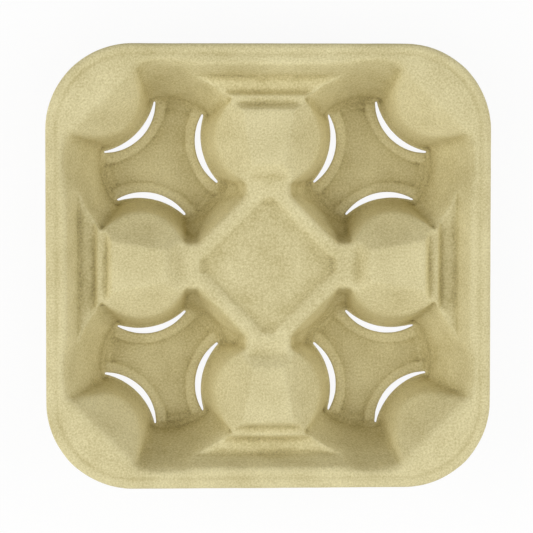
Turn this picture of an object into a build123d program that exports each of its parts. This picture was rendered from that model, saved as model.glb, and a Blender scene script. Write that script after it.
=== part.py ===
"""Four-cup carrier, pressed in one piece from paper pulp: a square tray with four cup wells.

The upper face is built as one mass, the lower face as the same mass with every face moved in
by the wall, and the tray is the upper mass less the lower one. +Z is up and the origin is at
the middle of the plane that the four well floors rest on.
"""

from build123d import *
from math import atan2, cos, degrees, hypot, radians, sin, sqrt, tan
import os

# Whole tray
side = 216.0
height = 45.0
wall = 2.0
corner_radius = 42.0
overrun = 6.0

# Turned-down lip, flat rim and the shallow crease between them
lip_drop = 7.5
lip_chamfer = 1.6
crease_setback = 5.5
crease_half_width = 1.4
crease_depth = 0.5
rim_round = 3.0
skim = 0.15

# Cup wells, cones about four upright axes, which fill the room between the rim and the middle
well_rim_gap = 8.5
well_middle_gap = 19.8
well_draft = 23.5
well_round = 6.0
well_under_round = 3.5

# Spine of a saddle: run of each stretch inwards from the side, and its depth below the rim
rim_width = 10.2
rim_wall_run = 5.8
trough_width = 7.4
step_rise_run = 1.6
step_width = 4.2
saddle_rise_run = 2.6
saddle_length = 26.9
neck_run = 5.8
trough_depth = 12.0
step_depth = 8.5
saddle_depth = 4.0
neck_depth = 9.0
trough_round = 2.0
step_round = 1.0
saddle_round = 2.6
spine_width_share = 0.8

# Lobes of a saddle, two round noses that lean back, cut by two slanting facets
lobe_setback = 46.0
lobe_spread = 4.8
lobe_foot_radius = 27.4
lobe_lean = 14.0
saddle_outer_half_width = 12.3
saddle_inner_half_width = 7.8
saddle_facet_slope = 43.0

# Corner lobes, one nose each, cut by a facet that falls from the rim
corner_lobe_setback = 17.3
corner_lobe_foot_radius = 26.7
corner_edge_setback = 21.8
corner_facet_slope = 53.0

# Raised band on the well floor round the foot of each lobe
band_reach = 7.6
band_height = 1.2
band_draft = 40.0

# Centre diamond: a post between the wells, with necks to the saddles and a ridge round a recess
post_half_width = 31.7
post_draft = 13.0
neck_half_width = 10.6
ridge_width = 5.3
ridge_round = 2.4
recess_reach = 34.1
recess_depth = 2.0
recess_run = 3.4

# Slots along the foot of each lobe
slot_gap = 1.7
slot_width = 3.4
slot_end_width = 1.0
slot_rise = 8.0
saddle_slot_outer_angle = 26.0
saddle_slot_inner_angle = 50.5
corner_slot_half_angle = 40.5

# Places on the axes and diagonals of the tray, from its centre, and levels
well_wall_run = (height - wall) * tan(radians(well_draft))
well_floor_radius = (side / 2 - well_rim_gap - well_wall_run - well_middle_gap) / 2
well_offset = well_middle_gap + well_floor_radius
lobe_place = side / 2 - lobe_setback
rim_wall_place = side / 2 - rim_width
trough_outer_place = rim_wall_place - rim_wall_run
trough_inner_place = trough_outer_place - trough_width
step_outer_place = trough_inner_place - step_rise_run
step_inner_place = step_outer_place - step_width
saddle_outer_place = step_inner_place - saddle_rise_run
saddle_inner_place = saddle_outer_place - saddle_length
neck_place = saddle_inner_place - neck_run
corner_place = side / sqrt(2) - (sqrt(2) - 1) * corner_radius
corner_lobe_place = corner_place - corner_lobe_setback
corner_edge_place = corner_place - corner_edge_setback
trough_level = height - trough_depth
step_level = height - step_depth
saddle_level = height - saddle_depth
neck_level = height - neck_depth

quarter_turns = [Rot(0, 0, 90 * turn) for turn in range(4)]
well_axes = [turn * Pos(well_offset, well_offset) for turn in quarter_turns]
eighth_turn = Rot(0, 0, 45)
standing = (Align.CENTER, Align.CENTER, Align.MIN)
down = (0, 0, -1)


def profile(corners):
    """Flat face through corners of (across, up, rounding)."""
    points = [(across, up) for across, up, rounding in corners]
    roundings = [rounding for across, up, rounding in corners]
    return make_face(FilletPolyline(*points, radius=roundings, close=True))


def offset_space(space, inset):
    """Outline of an open space, moved out by the inset for the lower face."""
    return offset(space, inset, kind=Kind.INTERSECTION) if inset else space


def low_end(inset):
    """Level that a mass starts from, deeper for the lower face, so that no two of them share it."""
    return -overrun - inset


def outer_round(radius, inset):
    """Rounding of an edge that stands proud; the lower face has it sharp, inside the wall."""
    return 0 if inset else radius


def rounded_plate(outset, low, high):
    """Plate of the tray's outline, moved out by the outset, between two levels."""
    width = side + 2 * outset
    outline = Pos(0, 0, low) * RectangleRounded(width, width, corner_radius + outset)
    return extrude(outline, high - low)


def rim_block(inset):
    """Rounded square mass under the flat rim. Under the lower face it is open below the lip."""
    low = low_end(inset)
    block = rounded_plate(-inset, low, height - inset)
    if inset:
        return block + rounded_plate(overrun, low, height - lip_drop)
    return chamfer(block.edges().group_by(Axis.Z)[-1], lip_chamfer) - crease()


def crease():
    """Shallow groove, of triangular section, all round the rim behind the lip."""
    slope = degrees(atan2(crease_half_width, crease_depth))

    def outline(setback):
        width = side - 2 * setback
        return Pos(0, 0, height) * RectangleRounded(width, width, corner_radius - setback)

    outer_edge = outline(crease_setback - crease_half_width)
    inner_edge = outline(crease_setback + crease_half_width)
    groove = extrude(outer_edge, crease_depth, dir=down, taper=slope)
    return groove - extrude(inner_edge, crease_depth, dir=down, taper=-slope)


def well_radius(level, inset):
    """Radius of a well's wall at a level, moved out by the inset for the lower face."""
    draft = radians(well_draft)
    return well_floor_radius + (level - wall) * tan(draft) + inset / cos(draft)


def bend(reach, level, radius, hand):
    """Three points of the rounding where a well's wall meets a level face, from that face up.

    The hand is 1 at the floor, where the wall rises from the face, and -1 at the rim.
    """
    draft = radians(well_draft)
    half_turn = radians(90 - well_draft) / 2
    tangent = radius * tan(half_turn)
    level_end = (reach - hand * tangent, level)
    across = tangent - radius * sin(half_turn)
    middle = (reach - hand * across, level + hand * radius * (1 - cos(half_turn)))
    wall_end = (reach + hand * tangent * sin(draft), level + hand * tangent * cos(draft))
    return [level_end, middle, wall_end]


def well_space(inset):
    """Open space of one well about the Z axis, with its bends at the floor and at the rim.

    The lower face has a plain chamfer at the floor and is sharp under the rim, inside the wall.
    """
    floor = wall - inset
    brim = height - inset
    foot = well_radius(floor, inset)
    mouth = well_radius(brim, inset)
    heel = bend(foot, floor, well_round, 1)
    rim = bend(mouth, brim, rim_round, -1)[::-1]
    if inset:
        heel = bend(foot, floor, well_under_round, 1)[::2]
        rim = [(mouth, brim)]
    top = height + overrun
    section = Polyline((0, floor), *heel, *rim, (rim[-1][0], top), (0, top), close=True)
    return revolve(Plane.XZ * make_face(section), Axis.Z)


def spine_space(inset):
    """Open space over one saddle along +Y: rim wall, trough, step, saddle top and neck."""
    brim = height + skim
    corners = [
        (rim_wall_place, brim, outer_round(rim_round, inset)),
        (trough_outer_place, trough_level, outer_round(trough_round, inset)),
        (trough_inner_place, trough_level, outer_round(step_round, inset)),
        (step_outer_place, step_level, outer_round(step_round, inset)),
        (step_inner_place, step_level, outer_round(step_round, inset)),
        (saddle_outer_place, saddle_level, outer_round(step_round, inset)),
        (saddle_inner_place, saddle_level, outer_round(saddle_round, inset)),
        (neck_place, neck_level, outer_round(saddle_round, inset)),
        (0, neck_level, 0),
        (0, height + overrun, 0),
        (rim_wall_place + overrun, height + overrun, 0),
        (rim_wall_place + overrun, brim, 0),
    ]
    space = offset_space(profile(corners), inset)
    return extrude(Plane.YZ * space, spine_width_share * well_offset, both=True)


def facet_space(edge_point, edge_direction, inset):
    """Open space above a slanting facet that falls away to the right of its upper edge."""
    slope = radians(saddle_facet_slope)
    along = Vector(*edge_direction).normalized()
    outward = along.cross(Vector(0, 0, 1))
    normal = outward * sin(slope) + Vector(0, 0, cos(slope))
    plane = Plane(Vector(*edge_point) - normal * inset, x_dir=along, z_dir=normal)
    return plane * Box(side, side, side, align=standing)


def leaning_lobe(foot_radius, inset):
    """Round lobe that leans back from +X, with its nose on the foot radius at the floor."""
    setback = foot_radius / cos(radians(lobe_lean)) - foot_radius
    return Pos(-setback, 0, wall) * Rot(0, -lobe_lean, 0) * Cylinder(foot_radius - inset, side)


def saddle_lobes(inset):
    """Two lobes of the saddle along +Y, which narrows towards the centre of the tray."""
    run = saddle_outer_place - saddle_inner_place
    taper = saddle_outer_half_width - saddle_inner_half_width
    right_edge = (saddle_outer_half_width, saddle_outer_place, saddle_level)
    left_edge = (-saddle_outer_half_width, saddle_outer_place, saddle_level)
    nose_turn = Rot(0, 0, (saddle_slot_outer_angle - saddle_slot_inner_angle) / 2)
    lobe = Pos(lobe_spread, lobe_place) * nose_turn * leaning_lobe(lobe_foot_radius, inset)
    lobe -= facet_space(right_edge, (taper, run), inset)
    lobe = split(lobe - facet_space(left_edge, (taper, -run), inset), Plane.YZ)
    return lobe + mirror(lobe, Plane.YZ)


def corner_lobe(inset):
    """Lobe of the corner along +X, cut by the facet that falls from the rim to the centre."""
    brim = height + skim
    run = brim / tan(radians(corner_facet_slope))
    corners = [
        (corner_edge_place, brim, outer_round(rim_round, inset)),
        (corner_edge_place - run, 0, 0),
        (corner_edge_place - run, height + overrun, 0),
        (corner_edge_place + overrun, height + overrun, 0),
        (corner_edge_place + overrun, brim, 0),
    ]
    space = offset_space(profile(corners), inset)
    lobe = Pos(corner_lobe_place) * quarter_turns[2] * leaning_lobe(corner_lobe_foot_radius, inset)
    return lobe - extrude(Plane.XZ * space, side, both=True)


def long_bar(top_half_width, top, foot_half_width, foot, rounding):
    """Bar along Y with a level top, whose sides lean evenly from its top to its foot."""
    corners = [
        (-foot_half_width, foot, 0),
        (-top_half_width, top, rounding),
        (top_half_width, top, rounding),
        (foot_half_width, foot, 0),
    ]
    return extrude(Plane.XZ * profile(corners), side, both=True)


def flared_bar(half_width, rounding, inset):
    """Bar along Y whose sides flare downwards from the level of the necks."""
    draft = radians(post_draft)
    top = neck_level - inset
    foot = low_end(inset)
    crest = half_width + inset * tan(draft) - inset / cos(draft)
    return long_bar(crest, top, crest + (top - foot) * tan(draft), foot, rounding)


def diamond_post(inset):
    """Square post set cornerwise between the wells, with the necks that join it to the saddles."""
    bar = flared_bar(post_half_width, 0, inset)
    post = eighth_turn * (bar & quarter_turns[1] * bar)
    if not inset:
        post = fillet(post.edges().group_by(Axis.Z)[-1], ridge_round)
    neck = flared_bar(neck_half_width, outer_round(ridge_round, inset), inset)
    neck &= Box(side, 2 * saddle_inner_place, side)
    return post + neck + quarter_turns[1] * neck


def diamond_recess(inset):
    """Shallow space inside the ridge of the diamond, with blunt corners and sloping sides."""
    brim = neck_level + recess_depth
    floor = neck_level - recess_depth - inset
    flare = recess_run / recess_depth
    shift = inset * hypot(recess_run, recess_depth) / recess_depth

    def trough(half_width):
        top_half_width = half_width + shift + (brim - neck_level) * flare
        foot_half_width = half_width + shift - (neck_level - floor) * flare
        return long_bar(top_half_width, brim, foot_half_width, floor, 0)

    sides = trough(post_half_width - ridge_width)
    ends = trough(recess_reach)
    return eighth_turn * (sides & quarter_turns[1] * sides) & ends & quarter_turns[1] * ends


def foot_band(lobe_radius):
    """Low cone about the Z axis, whose edge meets the well floor outside a lobe of the radius."""
    edge = lobe_radius + band_reach
    flare = tan(radians(band_draft))
    depth = wall + overrun
    cone = Cone(edge + depth * flare, edge - band_height * flare, depth + band_height, align=standing)
    return Pos(0, 0, -overrun) * cone


def foot_bands():
    """Raised bands on the well floors round the feet of the lobes of one saddle and one corner."""
    saddle_band = foot_band(lobe_foot_radius)
    corner_band = foot_band(corner_lobe_foot_radius)
    bands = Pos(lobe_spread, lobe_place) * saddle_band + Pos(-lobe_spread, lobe_place) * saddle_band
    return bands + eighth_turn * Pos(corner_lobe_place) * corner_band


def moulded_mass(inset):
    """Everything under the tray's upper face, with each face moved in by the inset.

    The bands are on the upper face alone, so that the floors rest flat.
    """
    block = rim_block(inset)
    well = well_space(inset)
    mass = block - [axis * well for axis in well_axes]
    saddle = saddle_lobes(inset) & block
    mass += [turn * saddle for turn in quarter_turns]
    mass += diamond_post(inset)
    spine = spine_space(inset)
    mass -= [turn * spine for turn in quarter_turns]
    mass -= diamond_recess(inset)
    corner = eighth_turn * corner_lobe(inset) & block
    mass += [turn * corner for turn in quarter_turns]
    if not inset:
        bands = foot_bands() & block
        mass += [turn * bands for turn in quarter_turns]
    return mass


def slot(radius, start_angle, end_angle):
    """Crescent slot about the Z axis with blunt ends, tall enough to clear the floor band."""

    def point(reach, angle):
        return (reach * cos(radians(angle)), reach * sin(radians(angle)))

    middle = (start_angle + end_angle) / 2
    outer, inner = [
        ThreePointArc(
            point(radius + hand * slot_end_width / 2, start_angle),
            point(radius + hand * slot_width / 2, middle),
            point(radius + hand * slot_end_width / 2, end_angle),
        )
        for hand in (1, -1)
    ]
    ends = Line(outer @ 0, inner @ 0) + Line(outer @ 1, inner @ 1)
    return Pos(0, 0, -overrun) * extrude(make_face(outer + inner + ends), slot_rise + overrun)


def slots():
    """The three slots of one quarter of the tray: two at a saddle and one at a corner."""
    saddle_slot_radius = lobe_foot_radius + slot_gap
    corner_slot_radius = corner_lobe_foot_radius + slot_gap
    right = slot(saddle_slot_radius, -saddle_slot_inner_angle, saddle_slot_outer_angle)
    left = mirror(right, Plane.YZ)
    corner = slot(corner_slot_radius, 180 - corner_slot_half_angle, 180 + corner_slot_half_angle)
    return [
        Pos(lobe_spread, lobe_place) * right,
        Pos(-lobe_spread, lobe_place) * left,
        eighth_turn * Pos(corner_lobe_place) * corner,
    ]


carrier_tray = moulded_mass(0) - moulded_mass(wall)
carrier_tray -= [turn * cut for turn in quarter_turns for cut in slots()]

os.makedirs("parts", exist_ok=True)
export_step(carrier_tray, "parts/carrier_tray.step")
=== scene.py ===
"""Looks of the moulded-pulp cup carrier: the pressed tray, its floor, the light and the camera."""

import math

import bmesh
import bpy
import numpy as np
from mathutils import Matrix, Vector


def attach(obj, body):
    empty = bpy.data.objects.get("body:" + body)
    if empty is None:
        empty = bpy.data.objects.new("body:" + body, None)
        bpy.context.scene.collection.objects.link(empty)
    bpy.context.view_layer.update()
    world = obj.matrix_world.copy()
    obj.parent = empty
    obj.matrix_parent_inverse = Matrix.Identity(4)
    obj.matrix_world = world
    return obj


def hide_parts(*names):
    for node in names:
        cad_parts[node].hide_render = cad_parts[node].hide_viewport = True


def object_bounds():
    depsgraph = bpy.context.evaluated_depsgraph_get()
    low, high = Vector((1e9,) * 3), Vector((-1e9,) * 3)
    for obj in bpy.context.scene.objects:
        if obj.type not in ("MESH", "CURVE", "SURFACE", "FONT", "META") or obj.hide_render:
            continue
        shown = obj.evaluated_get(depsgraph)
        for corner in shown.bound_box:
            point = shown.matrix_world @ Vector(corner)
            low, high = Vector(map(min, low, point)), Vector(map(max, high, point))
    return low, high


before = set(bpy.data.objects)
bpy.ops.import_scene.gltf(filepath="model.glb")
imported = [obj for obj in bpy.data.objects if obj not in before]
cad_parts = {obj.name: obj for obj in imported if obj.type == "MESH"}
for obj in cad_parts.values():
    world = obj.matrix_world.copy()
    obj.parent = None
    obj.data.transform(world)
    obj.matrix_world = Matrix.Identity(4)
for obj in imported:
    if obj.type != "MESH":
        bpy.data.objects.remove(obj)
cad_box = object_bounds()


# Tray. The carrier is one sheet of waste-paper pulp, sucked wet onto a wire mould, pressed and
# dried. Nothing on it is folded or glued. Wet pulp can't hold a sharp bend, so each edge is a
# little soft, and the faces are slightly uneven where the sheet shrank as it dried.

MM = 0.001

# Tones of the pulp, from dark to pale, at their places on a scale of 0 to 1
PULP_TONES = ((0.0, "#8A7D52"), (0.30, "#BFB27F"), (0.70, "#E7DDAE"), (1.0, "#F4ECCB"))
PAINTED_SHADE_TONE = 0.4          # painted shade: how far a hollow bend falls darker on that scale
CLOUD_SIZE = 22 * MM       # patches of thicker and thinner pulp
CLOUD_DETAIL = 2
FLECK_SIZE = 0.95 * MM     # clumps of fibre, since single fibres of 0.03 mm wouldn't show
FLECK_DETAIL = 1
FLECK_ROUGHNESS = 0.8
FLECK_SHARE = 0.63         # share of the flecks in the tone, against the clouds
FLECK_RELIEF = 0.12 * MM
FLECK_RELIEF_SHARE = 0.6
PULP_ROUGHNESS = 0.92
PULP_SPECULAR = 0.25


def linear(hex_colour):
    """sRGB hex value as a linear RGBA colour."""
    channels = [int(hex_colour[i:i + 2], 16) / 255 for i in (1, 3, 5)]
    return [c / 12.92 if c <= 0.04045 else ((c + 0.055) / 1.055) ** 2.4 for c in channels] + [1.0]


def add_node(tree, kind, inputs=None, **settings):
    """Adds a node, with its settings, and its inputs set to a value or linked to a socket."""
    node = tree.nodes.new(kind)
    for name, value in settings.items():
        setattr(node, name, value)
    for key, value in (inputs or {}).items():
        named = (socket for socket in node.inputs if socket.enabled and socket.name == key)
        socket = node.inputs[key] if isinstance(key, int) else next(named)
        if isinstance(value, bpy.types.NodeSocket):
            tree.links.new(value, socket)
        else:
            socket.default_value = value
    return node


def moulded_pulp():
    """Unbleached moulded pulp: buff, matt and fibrous, with clouded tone and pale and dark flecks.

    Hollow bends are darkened with painted shade, and outward bends lightened with a faint painted
    highlight.
    """
    material = bpy.data.materials.new("moulded_pulp")
    material.use_nodes = True
    tree = material.node_tree
    tree.nodes.clear()
    place = add_node(tree, "ShaderNodeTexCoord").outputs["Object"]
    clouds = add_node(tree, "ShaderNodeTexNoise", {
        "Vector": place, "Scale": 1 / CLOUD_SIZE, "Detail": CLOUD_DETAIL})
    flecks = add_node(tree, "ShaderNodeTexNoise", {
        "Vector": place, "Scale": 1 / FLECK_SIZE, "Detail": FLECK_DETAIL,
        "Roughness": FLECK_ROUGHNESS})
    mixed = add_node(tree, "ShaderNodeMix", data_type="FLOAT", inputs={
        "Factor": FLECK_SHARE, "A": clouds.outputs["Fac"], "B": flecks.outputs["Fac"]})
    # painted shade in the hollow bends and a faint painted highlight on the outward ones, from the
    # hollow attribute
    hollow = add_node(tree, "ShaderNodeAttribute", attribute_name="hollow")
    painted_shade = add_node(tree, "ShaderNodeMath", operation="MULTIPLY_ADD", inputs={
        0: hollow.outputs["Fac"], 1: -PAINTED_SHADE_TONE, 2: mixed.outputs["Result"]})
    tones = add_node(tree, "ShaderNodeValToRGB", {"Fac": painted_shade.outputs[0]})
    stops = tones.color_ramp.elements
    for stop, (position, colour) in zip(stops, (PULP_TONES[0], PULP_TONES[-1])):
        stop.position, stop.color = position, linear(colour)
    for position, colour in PULP_TONES[1:-1]:
        stops.new(position).color = linear(colour)
    bump = add_node(tree, "ShaderNodeBump", {
        "Height": flecks.outputs["Fac"], "Strength": FLECK_RELIEF_SHARE, "Distance": FLECK_RELIEF})
    shader = add_node(tree, "ShaderNodeBsdfPrincipled", {
        "Base Color": tones.outputs["Color"], "Normal": bump.outputs["Normal"],
        "Roughness": PULP_ROUGHNESS, "Specular IOR Level": PULP_SPECULAR})
    add_node(tree, "ShaderNodeOutputMaterial", {"Surface": shader.outputs["BSDF"]})
    return material


def plain_mesh(piece):
    """Turns a piece and its modifiers into one plain mesh."""
    evaluated = piece.evaluated_get(bpy.context.evaluated_depsgraph_get())
    mesh = bpy.data.meshes.new_from_object(evaluated)
    piece.modifiers.clear()
    piece.data = mesh


def smooth_step(values, low, high):
    """Share that rises smoothly from 0 at low to 1 at high."""
    share = np.clip((values - low) / (high - low), 0, 1)
    return share * share * (3 - 2 * share)


def mesh_points(mesh):
    """Places of a mesh's points, one row each."""
    points = np.empty(len(mesh.vertices) * 3, dtype=np.float32)
    mesh.vertices.foreach_get("co", points)
    return points.reshape(-1, 3)


def mesh_normals(mesh):
    """Directions that a mesh's points face, one row each."""
    normals = np.empty(len(mesh.vertices) * 3, dtype=np.float32)
    mesh.vertex_normals.foreach_get("vector", normals)
    return normals.reshape(-1, 3)


# The sheet is drawn again with evenly spaced points, from a copy whose loose triangles are joined.

JOIN_GAP = 0.001 * MM
GRID = 0.7 * MM            # spacing of the points before the sheet is thinned

merged = bmesh.new()
merged.from_mesh(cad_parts["carrier_tray"].data)
bmesh.ops.remove_doubles(merged, verts=merged.verts, dist=JOIN_GAP)
sheet = bpy.data.meshes.new("pulp_tray")
merged.to_mesh(sheet)
merged.free()
tray = bpy.data.objects.new("pulp_tray", sheet)
bpy.context.scene.collection.objects.link(tray)

grid = tray.modifiers.new("grid", "REMESH")
grid.mode = "VOXEL"
grid.voxel_size = GRID
plain_mesh(tray)

# Wet pulp creeps over the mould's bars, rounds the bends and shrinks. A pair of levels or of
# distances gives where a change starts and ends, and a sum is that of x and y.

SLOT_CREEP = 0.35 * MM     # how far the pulp creeps in from each side of a slot
CREEP_TO = (4 * MM, 8 * MM)          # levels where the creep ends
SOFT_PASSES = 24           # neighbour averages that round the softest bends
SOFT_FROM = (6 * MM, 11 * MM)        # levels where the bends go from crisp at the slots to soft
SOFT_TO = (28 * MM, 33 * MM)         # levels where they go back to crisp, under the steps
SOFT_BEYOND = (58 * MM, 70 * MM)     # sums where they go from crisp at the diamond to soft
CORNER_FROM = (128 * MM, 140 * MM)   # sums where the corners' upper edges go soft
CORNER_TO = (165 * MM, 178 * MM)     # sums where these go back to crisp, at the lip
LIP_GUARD = (7 * MM, 13 * MM)        # distances in from the outline where the lip's bends end
CRISP = 0.1                # share of the softening that is left on crisp bends
FACET_CRISP = 0.03         # the same on the saddles, whose facets meet in clear lines
LUMP_SPACING = 17 * MM
LUMP_DEPTH = 0.3 * MM      # depth of the deepest dents
LUMP_DETAIL = 1.0
LUMP_SEED = 3.0


def creep_into_slots(mesh):
    """Narrows the slots, which the mould's bars form."""
    points = mesh_points(mesh)
    share = 1 - smooth_step(points[:, 2], *CREEP_TO)
    points[:, :2] += SLOT_CREEP * share[:, None] * mesh_normals(mesh)[:, :2]
    mesh.vertices.foreach_set("co", points.ravel())
    mesh.update()


def mark_softness(mesh):
    """Gives each point its softness: 1 on the lobes' flanks and the corners' edges, else little."""
    points = mesh_points(mesh)
    reach = np.abs(points[:, :2])
    beyond = reach.sum(axis=1)
    inwards = cad_box[1].x - reach.max(axis=1)
    flank = 1 - smooth_step(points[:, 2], *SOFT_TO)
    corner = smooth_step(beyond, *CORNER_FROM) * (1 - smooth_step(beyond, *CORNER_TO))
    upper = np.maximum(flank, corner * smooth_step(inwards, *LIP_GUARD))
    lobes = smooth_step(beyond, *SOFT_BEYOND)
    loose = smooth_step(points[:, 2], *SOFT_FROM) * lobes * upper
    least = CRISP + (FACET_CRISP - CRISP) * lobes * smooth_step(inwards, *LIP_GUARD)
    attribute = mesh.attributes.new("softness", "FLOAT", "POINT")
    attribute.data.foreach_set("value", (least + (1 - least) * loose).astype(np.float32))


def pressing_tree():
    """Softens the bends of a sheet by its own softness and sinks the shallow dents of shrinkage."""
    tree = bpy.data.node_groups.new("pulp_pressing", "GeometryNodeTree")
    tree.is_modifier = True
    sockets = {}
    for name, kind in (("Sheet", "Geometry"), ("Soft passes", "Int"), ("Lump spacing", "Float"),
                       ("Lump depth", "Float"), ("Seed", "Float"), ("Pulp", "Material")):
        sockets[name] = tree.interface.new_socket(
            name, in_out="INPUT", socket_type="NodeSocket" + kind)
    tree.interface.new_socket("Sheet", in_out="OUTPUT", socket_type="NodeSocketGeometry")
    given = add_node(tree, "NodeGroupInput").outputs
    place = add_node(tree, "GeometryNodeInputPosition").outputs["Position"]
    softness = add_node(tree, "GeometryNodeInputNamedAttribute", data_type="FLOAT", inputs={
        "Name": "softness"})
    blurred = add_node(tree, "GeometryNodeBlurAttribute", data_type="FLOAT_VECTOR", inputs={
        "Value": place, "Iterations": given["Soft passes"],
        "Weight": softness.outputs["Attribute"]})
    softened = add_node(tree, "GeometryNodeSetPosition", {
        "Geometry": given["Sheet"], "Position": blurred.outputs["Value"]})
    scale = add_node(tree, "ShaderNodeMath", operation="DIVIDE", inputs={
        0: 1.0, 1: given["Lump spacing"]})
    lumps = add_node(tree, "ShaderNodeTexNoise", noise_dimensions="4D", inputs={
        "Vector": place, "W": given["Seed"], "Scale": scale.outputs[0], "Detail": LUMP_DETAIL})
    depth = add_node(tree, "ShaderNodeMath", operation="MULTIPLY", inputs={
        0: lumps.outputs["Fac"], 1: given["Lump depth"]})
    inwards = add_node(tree, "ShaderNodeMath", operation="MULTIPLY", inputs={
        0: depth.outputs[0], 1: -1.0})
    normal = add_node(tree, "GeometryNodeInputNormal").outputs["Normal"]
    offset = add_node(tree, "ShaderNodeVectorMath", operation="SCALE", inputs={
        "Vector": normal, "Scale": inwards.outputs[0]})
    lumped = add_node(tree, "GeometryNodeSetPosition", {
        "Geometry": softened.outputs["Geometry"], "Offset": offset.outputs["Vector"]})
    realized = add_node(tree, "GeometryNodeRealizeInstances", {
        "Geometry": lumped.outputs["Geometry"]})
    painted = add_node(tree, "GeometryNodeSetMaterial", {
        "Geometry": realized.outputs["Geometry"], "Material": given["Pulp"]})
    add_node(tree, "NodeGroupOutput", {"Sheet": painted.outputs["Geometry"]})
    return tree, sockets


creep_into_slots(tray.data)
mark_softness(tray.data)
pressing, pressing_sockets = pressing_tree()
press = tray.modifiers.new("press", "NODES")
press.node_group = pressing
for name, value in (("Soft passes", SOFT_PASSES), ("Lump spacing", LUMP_SPACING),
                    ("Lump depth", LUMP_DEPTH), ("Seed", LUMP_SEED), ("Pulp", moulded_pulp())):
    press[pressing_sockets[name].identifier] = value

# The dry sheet is thinned to fewer points, put right where that left a point askew, and marked
# for the painted shade of its hollow bends and the painted highlight of its outward ones.

FACE_LIMIT = 190_000
STRAY_PASSES = 4
STRAY_LEAN = 0.1           # lean of a point against its neighbours that makes it a stray
EVEN_FACE = 0.985          # least length of the neighbours' average normal on an even face
HOLLOW_PASSES = 5          # neighbour averages that a bend is told by
HOLLOW_DEPTH = 0.35 * MM   # depth of a bend, against them, that takes the full painted shade
PAINTED_HIGHLIGHT = 0.08               # share of that painted shade, the other way, that an outward bend takes at most as painted highlight


def neighbour_average(mesh, values):
    """Average of the values of each point's neighbours."""
    ends = np.empty(len(mesh.edges) * 2, dtype=np.int32)
    mesh.edges.foreach_get("vertices", ends)
    one, other = ends.reshape(-1, 2).T
    total = np.zeros_like(values)
    np.add.at(total, one, values[other])
    np.add.at(total, other, values[one])
    return total / np.bincount(ends, minlength=len(values))[:, None].astype(np.float32)


def settle_strays(mesh):
    """Draws points that the thinning left askew on an even face back among their neighbours."""
    for _ in range(STRAY_PASSES):
        points, normals = mesh_points(mesh), mesh_normals(mesh)
        around = neighbour_average(mesh, normals)
        evenness = np.linalg.norm(around, axis=1)
        lean = np.linalg.norm(normals - around / evenness[:, None], axis=1)
        stray = (evenness > EVEN_FACE) & (lean > STRAY_LEAN)
        points[stray] = neighbour_average(mesh, points)[stray]
        mesh.vertices.foreach_set("co", points.ravel())
        mesh.update()


def keep_in_box(mesh):
    """Moves points that stand out of the tray's box by a hair back onto it."""
    points = np.clip(mesh_points(mesh), np.array(cad_box[0]), np.array(cad_box[1]))
    mesh.vertices.foreach_set("co", points.astype(np.float32).ravel())
    mesh.update()


def mark_hollows(mesh):
    """Gives each point its hollow, for painted shade and highlight: 1 in a tight inward bend, minus
    the highlight share on an outward one, else 0.
    """
    points = mesh_points(mesh)
    average = points
    for _ in range(HOLLOW_PASSES):
        average = neighbour_average(mesh, average)
    depth = ((average - points) * mesh_normals(mesh)).sum(axis=1)
    hollow = np.clip(depth / HOLLOW_DEPTH, -PAINTED_HIGHLIGHT, 1)
    attribute = mesh.attributes.new("hollow", "FLOAT", "POINT")
    attribute.data.foreach_set("value", hollow.astype(np.float32))


thin = tray.modifiers.new("thin", "DECIMATE")
thin.ratio = FACE_LIMIT / (2 * len(tray.data.polygons))
plain_mesh(tray)
settle_strays(tray.data)
keep_in_box(tray.data)
mark_hollows(tray.data)
tray.data.shade_smooth()
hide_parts("carrier_tray")
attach(tray, "root")


# Floor. A plain white sheet of paper under the tray, without an edge in view. It is white to the
# eye and in reflections, and still takes the tray's soft shadow.

FLOOR_HALF = 8.0           # half of its width in metres
FLOOR_CORNERS = ((-1, -1), (1, -1), (1, 1), (-1, 1))
FLOOR_GAP = 0.2 * MM       # room under the tray's feet
FLOOR_COLOUR = "#F4F4F2"
SHADOW_SHARE = 0.08        # share of the lit paper in what the eye sees, the rest being white


def seen_directly(tree):
    """Socket that is 1 for a ray from the eye, a mirror or a glass, and 0 for light on the tray."""
    path = add_node(tree, "ShaderNodeLightPath").outputs
    mirrored = add_node(tree, "ShaderNodeMath", operation="MAXIMUM", inputs={
        0: path["Is Glossy Ray"], 1: path["Is Transmission Ray"]})
    either = add_node(tree, "ShaderNodeMath", operation="MAXIMUM", inputs={
        0: path["Is Camera Ray"], 1: mirrored.outputs[0]})
    return either.outputs[0]


def white_paper():
    """Matt white paper, which shows as white with a faint shadow."""
    material = bpy.data.materials.new("white_floor")
    material.use_nodes = True
    tree = material.node_tree
    tree.nodes.clear()
    share = add_node(tree, "ShaderNodeMath", operation="MULTIPLY", inputs={
        0: seen_directly(tree), 1: 1 - SHADOW_SHARE})
    paper = add_node(tree, "ShaderNodeBsdfDiffuse", {"Color": linear(FLOOR_COLOUR)})
    white = add_node(tree, "ShaderNodeEmission", {"Strength": 1.0})
    mixed = add_node(tree, "ShaderNodeMixShader", {
        0: share.outputs[0], 1: paper.outputs[0], 2: white.outputs[0]})
    add_node(tree, "ShaderNodeOutputMaterial", {"Surface": mixed.outputs[0]})
    return material


floor_mesh = bpy.data.meshes.new("floor")
floor_points = [(x * FLOOR_HALF, y * FLOOR_HALF, -FLOOR_GAP) for x, y in FLOOR_CORNERS]
floor_mesh.from_pydata(floor_points, [], [(0, 1, 2, 3)])
floor_mesh.materials.append(white_paper())
floor = bpy.data.objects.new("floor", floor_mesh)
bpy.context.scene.collection.objects.link(floor)


# Light. Two soft boxes stand at the left and the right of the tray and two weaker ones on its near
# side, one low and one high. White light from all round fills the shadows, and the backdrop is
# white.

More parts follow.
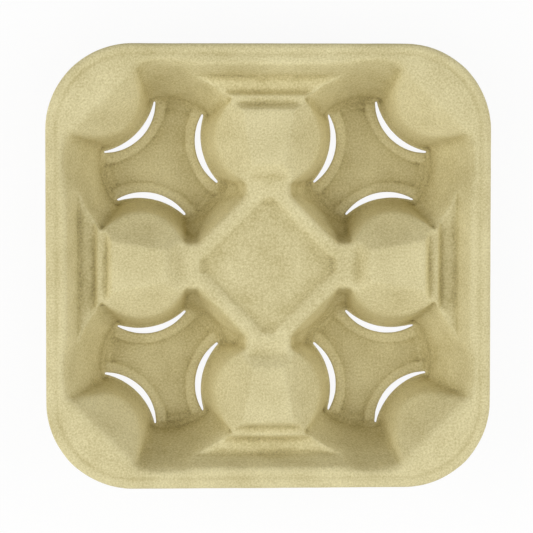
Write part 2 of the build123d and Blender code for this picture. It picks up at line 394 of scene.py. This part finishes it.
LIGHT_REACH = 1.5          # distance from the tray in metres
LIGHT_SIZE = 1.1           # width of a soft box in metres
SOFT_BOXES = (
    # name, azimuth and elevation in degrees, power in watts
    ("left", 180, 35, 10.8),
    ("right", 0, 35, 8.5),
    ("near_low", 270, 20, 2.8),
    ("near_high", 270, 70, 5.5),
)
AMBIENT = 0.28
WHITE = "#FFFFFF"

for name, azimuth, elevation, power in SOFT_BOXES:
    lamp = bpy.data.lights.new(name, "AREA")
    lamp.size = LIGHT_SIZE
    lamp.energy = power
    lamp_object = bpy.data.objects.new(name, lamp)
    turn, rise = math.radians(azimuth), math.radians(elevation)
    level = math.cos(rise)
    towards = Vector((math.cos(turn) * level, math.sin(turn) * level, math.sin(rise)))
    lamp_object.location = LIGHT_REACH * towards
    lamp_object.rotation_euler = towards.to_track_quat("Z", "Y").to_euler()
    lamp_object.visible_camera = False
    bpy.context.scene.collection.objects.link(lamp_object)

world = bpy.data.worlds.new("studio")
world.use_nodes = True
sky = world.node_tree
sky.nodes.clear()
ambient = add_node(sky, "ShaderNodeBackground", {"Color": linear(WHITE), "Strength": AMBIENT})
backdrop = add_node(sky, "ShaderNodeBackground", {"Color": linear(WHITE), "Strength": 1.0})
both = add_node(sky, "ShaderNodeMixShader", {
    0: seen_directly(sky), 1: ambient.outputs[0], 2: backdrop.outputs[0]})
add_node(sky, "ShaderNodeOutputWorld", {"Surface": both.outputs[0]})
bpy.context.scene.world = world


# Camera. It hangs over the tray, a little to the left and to the far side of its middle, and is
# aimed so that the rim has its width and its place in the picture.

IMAGE_SIZE = 533                       # pixels each way
RIM_WIDTH_PIXELS = 447.0
RIM_CENTRE_PIXELS = (269.2, 266.9)     # from the picture's upper left corner
EYE_ASIDE = Vector((-52, 60, 0)) * MM
EYE_HEIGHT = 1200 * MM                 # above the rim
SENSOR_WIDTH = 36.0                    # millimetres, as Blender takes it

rim_level = cad_box[1].z
pixel = (cad_box[1].x - cad_box[0].x) / RIM_WIDTH_PIXELS
aim_across = (IMAGE_SIZE / 2 - RIM_CENTRE_PIXELS[0]) * pixel
aim_along = (RIM_CENTRE_PIXELS[1] - IMAGE_SIZE / 2) * pixel
aim = Vector((aim_across, aim_along, rim_level))
eye = EYE_ASIDE + Vector((0, 0, rim_level + EYE_HEIGHT))
back = (eye - aim).normalized()
across = Vector((0, 1, 0)).cross(back).normalized()
facing = Matrix((across, back.cross(across), back)).transposed().to_4x4()
camera = bpy.data.cameras.new("camera")
camera.sensor_width = SENSOR_WIDTH
camera.lens = SENSOR_WIDTH * (eye - aim).length / (IMAGE_SIZE * pixel)
camera_object = bpy.data.objects.new("camera", camera)
camera_object.matrix_world = Matrix.Translation(eye) @ facing
bpy.context.scene.collection.objects.link(camera_object)
bpy.context.scene.camera = camera_object
bpy.context.scene.view_settings.view_transform = "Standard"
